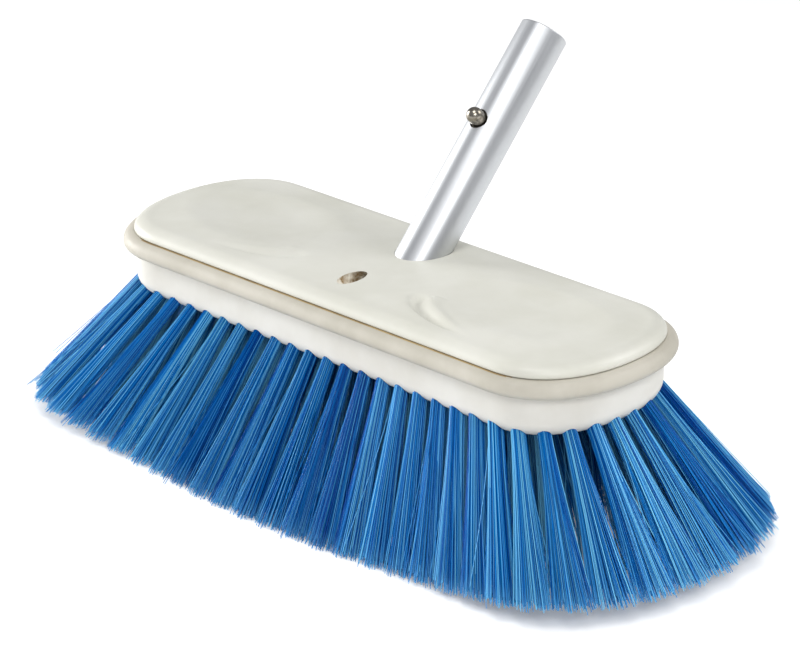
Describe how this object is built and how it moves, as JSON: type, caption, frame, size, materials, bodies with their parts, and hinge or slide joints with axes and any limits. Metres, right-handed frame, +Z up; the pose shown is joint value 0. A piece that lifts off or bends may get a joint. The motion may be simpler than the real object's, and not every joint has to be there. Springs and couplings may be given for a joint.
{
  "type": "deck brush head",
  "caption": "Long moulded brush head with flared blue tufts, a soft bumper round its waist and a leaning aluminium pole stub with a sprung snap button.",
  "frame": {"origin": "on the plane of the bristle tips, under the middle of the head", "axes": "+X along the head, +Y to the back where the stub leans, +Z up from the bristle tips to the cover"},
  "size_m": [0.3384, 0.1725, 0.1677],
  "materials": {
    "cover_plastic": "moulded, satin, warm off-white",
    "bumper_vinyl": "soft moulded vinyl, matt, pale beige",
    "block_plastic": "moulded, satin, off-white",
    "stub_aluminium": "drawn tube, satin",
    "spring_steel": "rolled strip, satin",
    "button_steel": "dull nickel plate",
    "screw_steel": "zinc plated",
    "bristle_filament": "drawn filament, slight sheen"
  },
  "bodies": {
    "head": {"top_cover": "cover_plastic", "bumper_band": "bumper_vinyl", "bristle_block": "block_plastic", "handle_tube": "stub_aluminium", "button_spring": "spring_steel", "tube_screw": "screw_steel", "cover_screw_1": "screw_steel", "cover_screw_2": "screw_steel", "cover_screw_3": "screw_steel", "cover_screw_4": "screw_steel", "cover_screw_5": "screw_steel", "cover_screw_6": "screw_steel", "bristle_outer_01": "bristle_filament", "bristle_outer_02": "bristle_filament", "bristle_outer_03": "bristle_filament", "bristle_outer_04": "bristle_filament", "bristle_outer_05": "bristle_filament", "bristle_outer_06": "bristle_filament", "bristle_outer_07": "bristle_filament", "bristle_outer_08": "bristle_filament", "bristle_outer_09": "bristle_filament", "bristle_outer_10": "bristle_filament", "bristle_outer_11": "bristle_filament", "bristle_outer_12": "bristle_filament", "bristle_second_01": "bristle_filament", "bristle_second_02": "bristle_filament", "bristle_second_03": "bristle_filament", "bristle_second_04": "bristle_filament", "bristle_second_05": "bristle_filament", "bristle_second_06": "bristle_filament", "bristle_second_07": "bristle_filament", "bristle_second_08": "bristle_filament", "bristle_row_front": "bristle_filament", "bristle_row_centre": "bristle_filament", "bristle_row_back": "bristle_filament"},
    "button": {"snap_button": "button_steel", "button_arm": "spring_steel"}
  },
  "joints": [
    {"name": "button_press", "type": "hinge", "parent": "head", "child": "button", "pos_m": [0, 0.03061, 0.10948], "axis": [-1, 0, 0], "range_deg": [0, 11], "stiffness_Nm_per_rad": 1.2, "springref_deg": -4.58}
  ]
}
